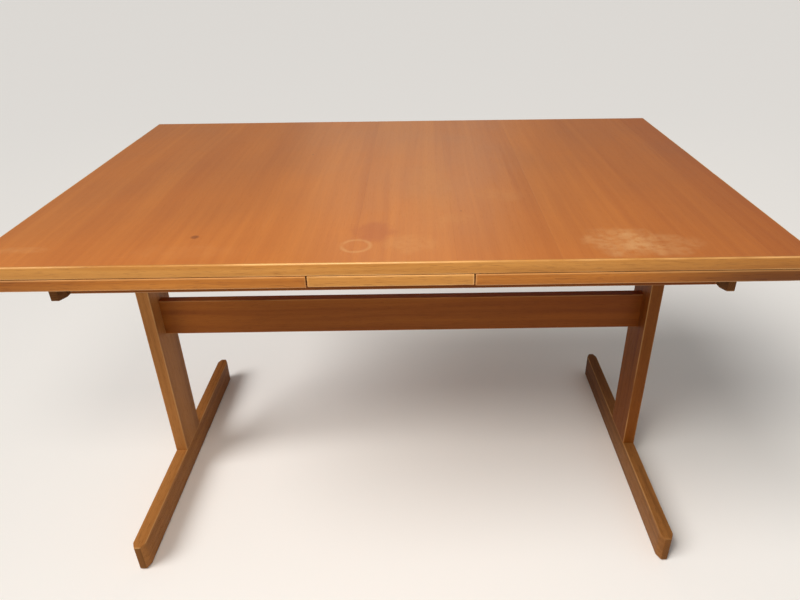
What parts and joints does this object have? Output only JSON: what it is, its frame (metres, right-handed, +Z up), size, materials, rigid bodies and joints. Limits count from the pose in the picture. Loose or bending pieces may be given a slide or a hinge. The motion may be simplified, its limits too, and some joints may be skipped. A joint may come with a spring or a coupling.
{
  "type": "extendable dining table",
  "caption": "Draw-leaf dining table on two trestles: leaves slide out on lopers from under a loose top that lifts on guide pegs.",
  "frame": {"origin": "on the floor under the centre of the table", "axes": "+X along the table's length towards the right leaf, -Y the front long side, +Z up"},
  "size_m": [1.2, 0.8, 0.72],
  "materials": {
    "top_veneer": "satin lacquered teak veneer, grain across the table",
    "board_veneer": "satin teak veneer on leaves and centre board",
    "edge_lipping": "solid teak lipping, rounded arris, satin",
    "frame_timber": "solid teak, oiled satin",
    "runner_beech": "bare waxed beech",
    "steel": "zinc-plated, dulled",
    "glide_felt": "pressed brown felt"
  },
  "bodies": {
    "base": {"left_foot": "frame_timber", "right_foot": "frame_timber", "left_post": "frame_timber", "right_post": "frame_timber", "left_cross_bearer": "frame_timber", "right_cross_bearer": "frame_timber", "front_long_rail": "frame_timber", "back_long_rail": "frame_timber", "stretcher_rail": "frame_timber", "stretcher_bolts": "steel", "stretcher_barrel_nuts": "steel", "rail_dowels": "runner_beech", "centre_board": "board_veneer", "centre_board_front_edge": "edge_lipping", "centre_board_back_edge": "edge_lipping", "centre_board_packers": "runner_beech", "centre_board_screws": "steel", "foot_glides": "glide_felt"},
    "left_leaf": {"left_leaf_panel": "board_veneer", "left_leaf_front_edge": "edge_lipping", "left_leaf_back_edge": "edge_lipping", "left_leaf_outer_edge": "edge_lipping", "left_leaf_inner_edge": "edge_lipping", "left_leaf_front_loper": "runner_beech", "left_leaf_back_loper": "runner_beech", "left_leaf_stop_blocks": "runner_beech", "left_leaf_screws": "steel"},
    "right_leaf": {"right_leaf_panel": "board_veneer", "right_leaf_front_edge": "edge_lipping", "right_leaf_back_edge": "edge_lipping", "right_leaf_outer_edge": "edge_lipping", "right_leaf_inner_edge": "edge_lipping", "right_leaf_front_loper": "runner_beech", "right_leaf_back_loper": "runner_beech", "right_leaf_stop_blocks": "runner_beech", "right_leaf_screws": "steel"},
    "top": {"table_top_panel": "top_veneer", "table_top_front_edge": "edge_lipping", "table_top_back_edge": "edge_lipping", "table_top_left_edge": "edge_lipping", "table_top_right_edge": "edge_lipping", "guide_pegs": "runner_beech", "peg_stop_discs": "runner_beech", "peg_screws": "steel"}
  },
  "joints": [
    {"name": "left_leaf_slide", "type": "slide", "parent": "base", "child": "left_leaf", "axis": [-1, 0, 0], "range_m": [0, 0.482]},
    {"name": "right_leaf_slide", "type": "slide", "parent": "base", "child": "right_leaf", "axis": [1, 0, 0], "range_m": [0, 0.482]},
    {"name": "top_lift", "type": "slide", "parent": "base", "child": "top", "axis": [0, 0, 1], "range_m": [0, 0.022]}
  ]
}
